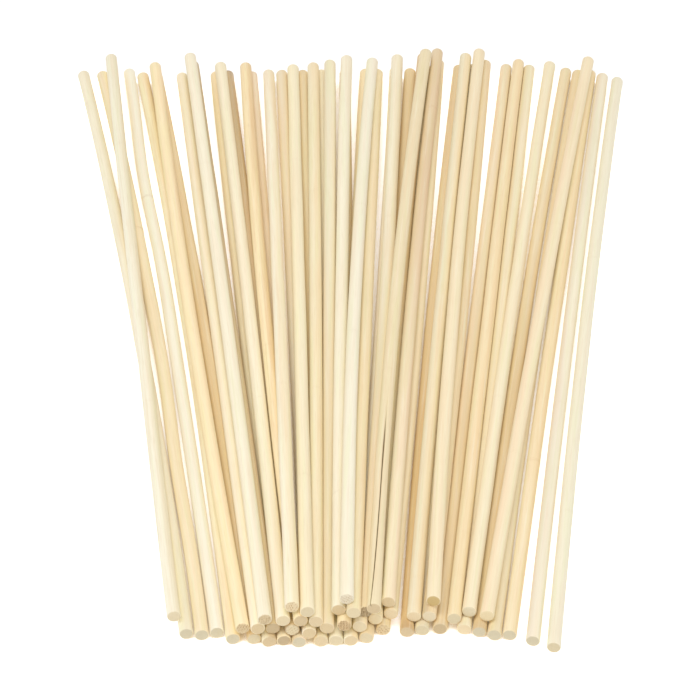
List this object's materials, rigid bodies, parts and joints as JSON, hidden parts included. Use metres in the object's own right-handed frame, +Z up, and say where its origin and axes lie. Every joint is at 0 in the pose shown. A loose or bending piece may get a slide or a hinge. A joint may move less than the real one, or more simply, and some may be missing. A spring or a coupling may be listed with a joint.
{
  "type": "bundle of bamboo stakes",
  "caption": "Loose bundle of plain round bamboo stakes lying on a flat surface, heaped at one end and fanned out at the other.",
  "frame": {"origin": "centre of the bundle's box, on the surface it lies on", "axes": "+Y from the heaped ends towards the fanned-out ends, +X to the right seen from the heaped ends, +Z up"},
  "size_m": [0.2974, 0.4728, 0.0276],
  "materials": {
    "pale_stakes": "planed, unvarnished",
    "straw_stakes": "planed, unvarnished",
    "golden_stakes": "planed, unvarnished",
    "tan_stakes": "planed, unvarnished"
  },
  "bodies": {
    "root": {"bottom_stake_01": "straw_stakes", "bottom_stake_02": "straw_stakes", "bottom_stake_03": "pale_stakes", "bottom_stake_04": "straw_stakes", "bottom_stake_05": "tan_stakes", "bottom_stake_06": "tan_stakes", "bottom_stake_07": "tan_stakes", "bottom_stake_08": "tan_stakes", "bottom_stake_09": "tan_stakes", "bottom_stake_10": "tan_stakes", "bottom_stake_11": "golden_stakes", "bottom_stake_12": "tan_stakes", "bottom_stake_13": "golden_stakes", "bottom_stake_14": "tan_stakes", "bottom_stake_15": "tan_stakes", "bottom_stake_16": "golden_stakes", "bottom_stake_17": "golden_stakes", "bottom_stake_18": "tan_stakes", "bottom_stake_19": "tan_stakes", "bottom_stake_20": "golden_stakes", "bottom_stake_21": "pale_stakes", "bottom_stake_22": "pale_stakes", "second_stake_01": "pale_stakes", "second_stake_02": "golden_stakes", "second_stake_03": "straw_stakes", "second_stake_04": "golden_stakes", "second_stake_05": "tan_stakes", "second_stake_06": "golden_stakes", "second_stake_07": "straw_stakes", "second_stake_08": "golden_stakes", "second_stake_09": "golden_stakes", "second_stake_10": "tan_stakes", "second_stake_11": "golden_stakes", "second_stake_12": "straw_stakes", "second_stake_13": "golden_stakes", "second_stake_14": "golden_stakes", "second_stake_15": "straw_stakes", "second_stake_16": "straw_stakes", "third_stake_01": "pale_stakes", "third_stake_02": "pale_stakes", "third_stake_03": "tan_stakes", "third_stake_04": "straw_stakes", "third_stake_05": "pale_stakes", "third_stake_06": "straw_stakes", "third_stake_07": "straw_stakes", "third_stake_08": "straw_stakes", "fourth_stake_01": "pale_stakes", "fourth_stake_02": "straw_stakes", "fourth_stake_03": "tan_stakes", "fourth_stake_04": "straw_stakes", "top_stake_01": "pale_stakes"}
  },
  "joints": []
}
